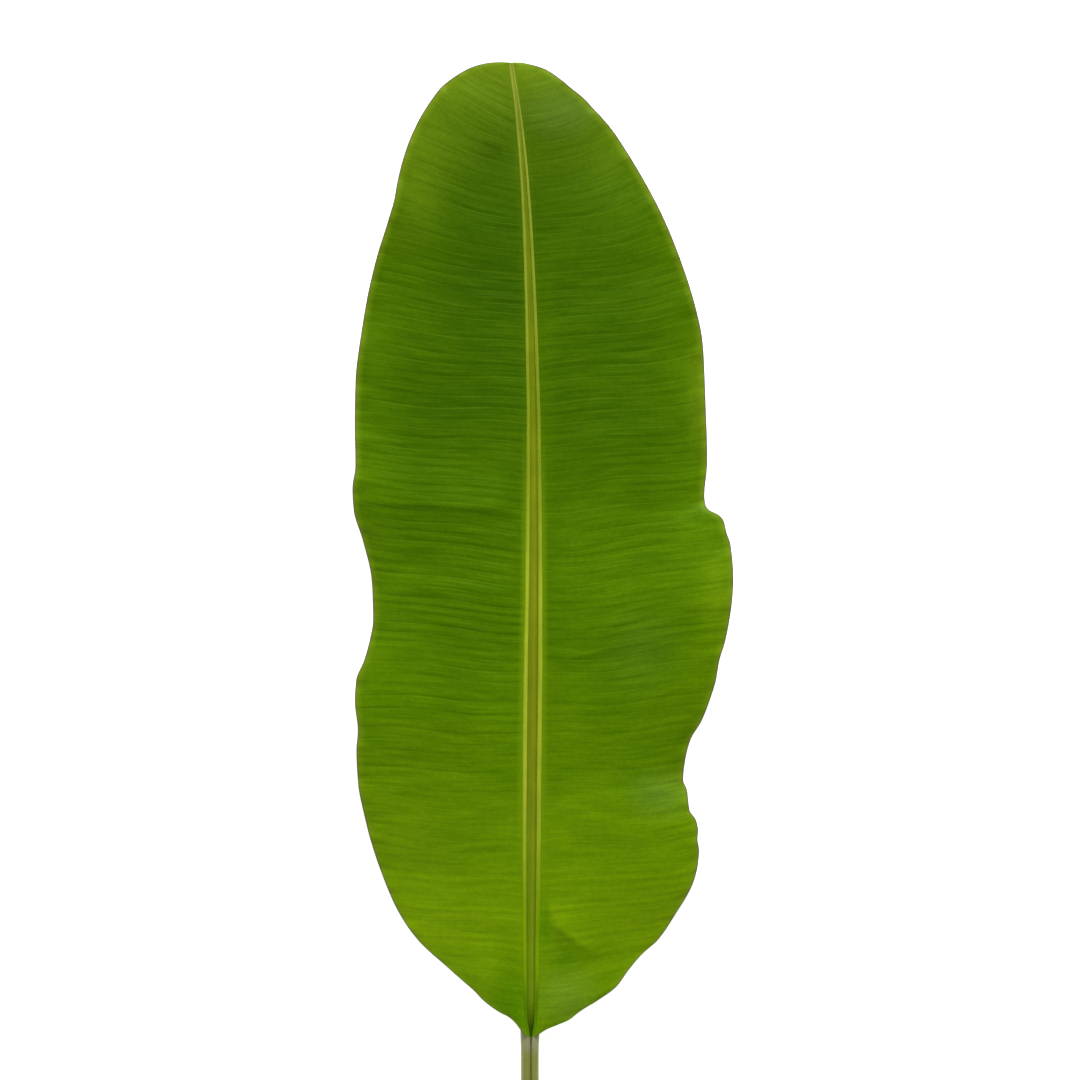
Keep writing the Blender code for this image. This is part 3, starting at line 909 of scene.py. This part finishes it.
def make_upper_face():
    material, tree, shader = new_material("leaf_upper_face", 0.42, 0.06, LEAF_GLOSS)
    lines, place = read_lines(tree, "leaf_lines"), object_place(tree)
    from_rim, _, from_margin = parts_of(tree, lines)
    _, along, _ = parts_of(tree, place)
    veins = place_group(tree, VEIN_LINES, Lines=lines, Seed=3.0)
    broad = streaks(tree, lines, 150.0, 0.55, 1.0)
    close = streaks(tree, lines, 45.0, 2.0, 5.0)
    fine = streaks(tree, lines, 26.0, 5.0, 7.0)
    # Patches of the leaf's own tone and colour, and of painted light, shade and sheen on its folds, creases
    # and puckers.
    colour = add_patches(tree, ground_colour(tree, along), place, TONE_LIGHT_AND_SHADE_PATCHES)
    colour = add_patches(tree, colour, place, GREY_AND_SHEEN_PATCHES, GREY_GREEN)
    colour = add_patches(tree, colour, place, DEEP_GREEN_AND_SHADE_PATCHES, DEEP_GREEN)
    colour = add_patches(tree, colour, place, YELLOW_AND_HIGHLIGHT_PATCHES, YELLOW_GREEN)
    outer = between(tree, from_margin, *PALE_MARGIN_WIDTH, 1.0, 0.0)
    outer = product(tree, outer, between(tree, along, *MARGIN_PALES))
    colour = tinted(tree, colour, outer, 0.27)
    colour = tinted(tree, colour, broad, 0.05)
    middle = between(tree, along, *VEINS_GROW, 0.6, 1.0)
    middle = product(tree, middle, between(tree, along, *VEINS_FADE, 1.0, 0.6))
    colour = tinted(tree, colour, product(tree, close, middle), 0.14)
    colour = tinted(tree, colour, fine, 0.05)
    colour = tinted(tree, colour, mottle(tree, place, 0.004), 0.06)
    colour = tinted(tree, colour, mottle(tree, place, 0.12), 0.05)
    line = product(tree, veins["Line"], product(tree, middle, 0.20))
    colour = colour_mix(tree, line, colour, linear(VEIN_LIGHT))
    glow = product(tree, between(tree, along, *GLOW_GROWS), between(tree, along, *GLOW_FADES, 1.0, 0.1))
    glow = product(tree, glow, between(tree, from_rim, *RIM_GLOW_WIDTH, 0.75, 0.0))
    colour = colour_mix(tree, glow, colour, linear(RIM_GLOW))
    band = product(tree, between(tree, from_margin, *YELLOW_MARGIN_WIDTH, 1.0, 0.0), 0.6)
    colour = colour_mix(tree, band, colour, linear(MARGIN_YELLOW))
    dry = between(tree, from_margin, *DRY_MARGIN_WIDTH, 0.85, 0.0)
    colour = colour_mix(tree, dry, colour, linear(MARGIN_BROWN))
    feed(tree, shader["Base Color"], colour)
    feed(tree, shader["Roughness"], between(tree, close, -1.0, 1.0, 0.37, 0.47))
    add_bump(tree, shader, total(tree, veins["Height"], product(tree, close, 0.3)), 0.00006)
    return material


def make_underside():
    material, tree, shader = new_material("leaf_underside", 0.6, 0.2)
    lines, place = read_lines(tree, "leaf_lines"), object_place(tree)
    _, _, from_margin = parts_of(tree, lines)
    veins = place_group(tree, VEIN_LINES, Lines=lines, Seed=8.0)
    bloom = mottle(tree, place, 0.05)
    colour = tinted(tree, linear(UNDERSIDE_GREEN), streaks(tree, lines, 80.0, 2.0, 9.0), 0.10)
    colour = tinted(tree, colour, bloom, 0.06)
    colour = colour_mix(tree, product(tree, veins["Line"], 0.6), colour, linear(UNDERSIDE_VEIN))
    dry = between(tree, from_margin, *DRY_UNDERSIDE_WIDTH, 1.0, 0.0)
    colour = colour_mix(tree, dry, colour, linear(MARGIN_BROWN))
    feed(tree, shader["Base Color"], colour)
    feed(tree, shader["Roughness"], between(tree, bloom, -1.0, 1.0, 0.52, 0.68))
    add_bump(tree, shader, veins["Height"], 0.00012)
    return material


def make_edge():
    material, tree, shader = new_material("leaf_margin_edge", 0.6, 0.2)
    dry = mottle(tree, object_place(tree), 0.012)
    feed(tree, shader["Base Color"], tinted(tree, linear(MARGIN_BROWN), dry, 0.25))
    feed(tree, shader["Roughness"], between(tree, dry, -1.0, 1.0, 0.5, 0.7))
    return material


def rim_colour(tree, along, right):
    """The colour of the two rims from foot to tip, with painted shade on the right one."""
    colour = colour_mix(tree, between(tree, along, *RIM_UPPER_STARTS), linear(RIM_YELLOW), linear(RIM_UPPER))
    colour = colour_mix(tree, between(tree, along, *RIM_TIP_STARTS), colour, linear(RIM_TIP))
    colour = colour_mix(tree, between(tree, along, *RIM_FOOT_ENDS, 1.0, 0.0), colour, linear(RIM_FOOT))
    colour = colour_mix(tree, between(tree, along, *RIM_DEEP_ENDS, 0.85, 0.0), colour, linear(DEEP_GREEN))
    # Painted shade on the right rim.
    return tinted(tree, colour, right, -0.09)


def channel_colour(tree, along, channel):
    """The colour of the channel's floor and walls from foot to tip, with painted shade on the walls near the
    foot and in the groove's narrow foot.
    """
    grown = between(tree, along, *CHANNEL_FOOT_ENDS)
    colour = colour_mix(tree, grown, linear(CHANNEL_FOOT), linear(CHANNEL_OLIVE))
    colour = colour_mix(tree, between(tree, along, *CHANNEL_TIP_STARTS), colour, linear(CHANNEL_TIP))
    # Painted shade in the groove's narrow foot.
    deep = between(tree, along, *CHANNEL_DEEP_SHADE_ENDS, 0.9, 0.0)
    colour = colour_mix(tree, deep, colour, linear(CHANNEL_DEEP_SHADE))
    # Painted shade on the groove's walls near the foot, where they take CHANNEL_SHADE; higher up they take
    # CHANNEL_WALL.
    shaded = between(tree, along, *CHANNEL_SHADE_ENDS)
    wall_colour = colour_mix(tree, shaded, linear(CHANNEL_SHADE), linear(CHANNEL_WALL))
    wall = product(tree, between(tree, channel, 0.80, 1.0), 0.6)
    colour = colour_mix(tree, wall, colour, wall_colour)
    closed = between(tree, along, *CHANNEL_CLOSES, 0.0, 0.8)
    return colour_mix(tree, closed, colour, linear(RIM_TIP))


def stalk_colour(tree, across, along, channel):
    """The stalk's green, its darker slit, its pale bloom on its sides, partly painted sheen, and painted
    light where the blade starts.
    """
    colour = colour_mix(tree, channel, linear(STALK_GREEN), linear(SLIT_DARK))
    side = number_node(tree, "ABSOLUTE", total(tree, across, (FOOTPRINT_CENTRE[0] + 0.9) * MM))
    # The stalk's own pale bloom on its sides, with painted sheen at its edges.
    bloom = product(tree, between(tree, side, 0.0062, 0.0092), 0.55)
    foot = -FOOTPRINT_CENTRE[1] * MM
    # Painted light where the blade starts, against the shade of the blade's foot on the stalk.
    bloom = number_node(tree, "MAXIMUM", bloom, between(tree, along, foot - 0.024, foot - 0.004, 0.0, 0.34))
    return colour_mix(tree, bloom, colour, linear(STALK_BLOOM_AND_LIGHT))


def make_rib_skin():
    material, tree, shader = new_material("midrib_skin", 0.42, 0.08, LEAF_GLOSS)
    place = object_place(tree)
    across, along, height = parts_of(tree, place)
    _, channel, keel = parts_of(tree, read_lines(tree, "rib_bands"))
    fibres = vector_node(tree, product(tree, along, 1000.0), product(tree, across, 1000.0), height)
    streak = streaks(tree, fibres, 60.0, 1.3, 2.0)
    clouds = mottle(tree, place, 0.03)
    middle, foot = -FOOTPRINT_CENTRE[0] * MM, -FOOTPRINT_CENTRE[1] * MM
    right = between(tree, across, middle - 0.001, middle + 0.003)
    colour = rim_colour(tree, along, right)
    colour = colour_mix(tree, between(tree, keel, 0.3, 1.0), colour, linear(KEEL_GREEN))
    floor = channel_colour(tree, along, channel)
    # The inner slope of each rim and the top of each groove wall. On the right side it gets painted light,
    # against the shade that falls on that side.
    inner = product(tree, between(tree, channel, 0.02, 0.3), between(tree, channel, 0.7, 0.98, 1.0, 0.0))
    channel = between(tree, channel, 0.0, 0.8)
    colour = colour_mix(tree, channel, colour, floor)
    colour = tinted(tree, colour, product(tree, inner, right), 0.30)
    aside = number_node(tree, "ABSOLUTE", total(tree, across, 0.0002 - middle))
    fork = number_node(tree, "SUBTRACT", along, product(tree, aside, 0.8))
    stalk = between(tree, fork, foot - 0.0032, foot - 0.0012, 1.0, 0.0)
    colour = colour_mix(tree, stalk, colour, stalk_colour(tree, across, along, channel))
    colour = tinted(tree, colour, streak, 0.12)
    colour = tinted(tree, colour, clouds, 0.06)
    feed(tree, shader["Base Color"], colour)
    feed(tree, shader["Roughness"], between(tree, clouds, -1.0, 1.0, 0.38, 0.52))
    add_bump(tree, shader, streak, 0.00008)
    return material


def make_cut_end():
    """The cut end of the stalk: pale flesh with rows of air canals inside a green rind."""
    material, tree, shader = new_material("stalk_cut_end", 0.7, 0.25)
    place = object_place(tree)
    cells = tree.nodes.new("ShaderNodeTexVoronoi")
    feed(tree, cells.inputs["Vector"], place)
    cells.inputs["Scale"].default_value = 650.0
    cells.inputs["Randomness"].default_value = 0.55
    wall = between(tree, cells.outputs["Distance"], 0.25, 0.55)
    colour = colour_mix(tree, wall, linear(CUT_RIND), linear(CUT_CREAM))
    feed(tree, shader["Base Color"], tinted(tree, colour, mottle(tree, place, 0.006), 0.12))
    add_bump(tree, shader, wall, 0.0003)
    return material


def make_table():
    """A white table top, wide enough for every view."""
    bpy.ops.object.select_all(action="DESELECT")
    bpy.ops.mesh.primitive_plane_add(size=TABLE_SIZE, location=(0.0, 0.0, -TABLE_GAP))
    table = bpy.context.active_object
    table.name = "white_table"
    material, _, shader = new_material("white_table", 0.9, 0.0)
    shader["Base Color"].default_value = TABLE_WHITE
    shader["Emission Color"].default_value = WHITE
    shader["Emission Strength"].default_value = TABLE_GLOW
    table.data.materials.append(material)


def add_softbox(name, location, size, watts):
    """A square soft light that looks at the middle of the leaf."""
    light = bpy.data.lights.new(name, "AREA")
    light.shape = "SQUARE"
    light.size = size
    light.energy = watts
    lamp = bpy.data.objects.new(name, light)
    bpy.context.scene.collection.objects.link(lamp)
    lamp.location = location
    away = np.array(location) - np.array(LIT_POINT)
    flat = math.hypot(away[0], away[1])
    lamp.rotation_euler = (math.atan2(flat, away[2]), 0.0, math.atan2(away[0], -away[1]))


def make_sky():
    """Pale surroundings, dark straight overhead, so that the leaf's gloss doesn't wash out its green."""
    world = bpy.data.worlds.new("studio")
    bpy.context.scene.world = world
    world.use_nodes = True
    tree = world.node_tree
    _, _, up = parts_of(tree, tree.nodes.new("ShaderNodeTexCoord").outputs["Generated"])
    strength = between(tree, up, *SKY_HEIGHTS, *SKY_STRENGTHS)
    feed(tree, tree.nodes["Background"].inputs["Strength"], strength)
    tree.nodes["Background"].inputs["Color"].default_value = WHITE


def make_camera():
    """Straight above the leaf, with the tip up in the picture and the stalk running out at the foot."""
    lens = bpy.data.cameras.new("camera")
    lens.lens = LENS_MM
    lens.sensor_width = SENSOR_MM
    camera = bpy.data.objects.new("camera", lens)
    camera.location = CAMERA_PLACE
    bpy.context.scene.collection.objects.link(camera)
    bpy.context.scene.camera = camera


def build():
    faces = (make_upper_face(), make_underside(), make_edge())
    make_blade_half("blade_left", LEFT, faces)
    make_blade_half("blade_right", RIGHT, faces)
    make_midrib("midrib_and_stalk", make_rib_skin(), make_cut_end())
    make_table()
    make_sky()
    add_softbox("key_from_tip", *KEY_LIGHT)
    add_softbox("fill_from_foot", *FILL_LIGHT)
    make_camera()
    bpy.context.scene.view_settings.view_transform = "Standard"


build()
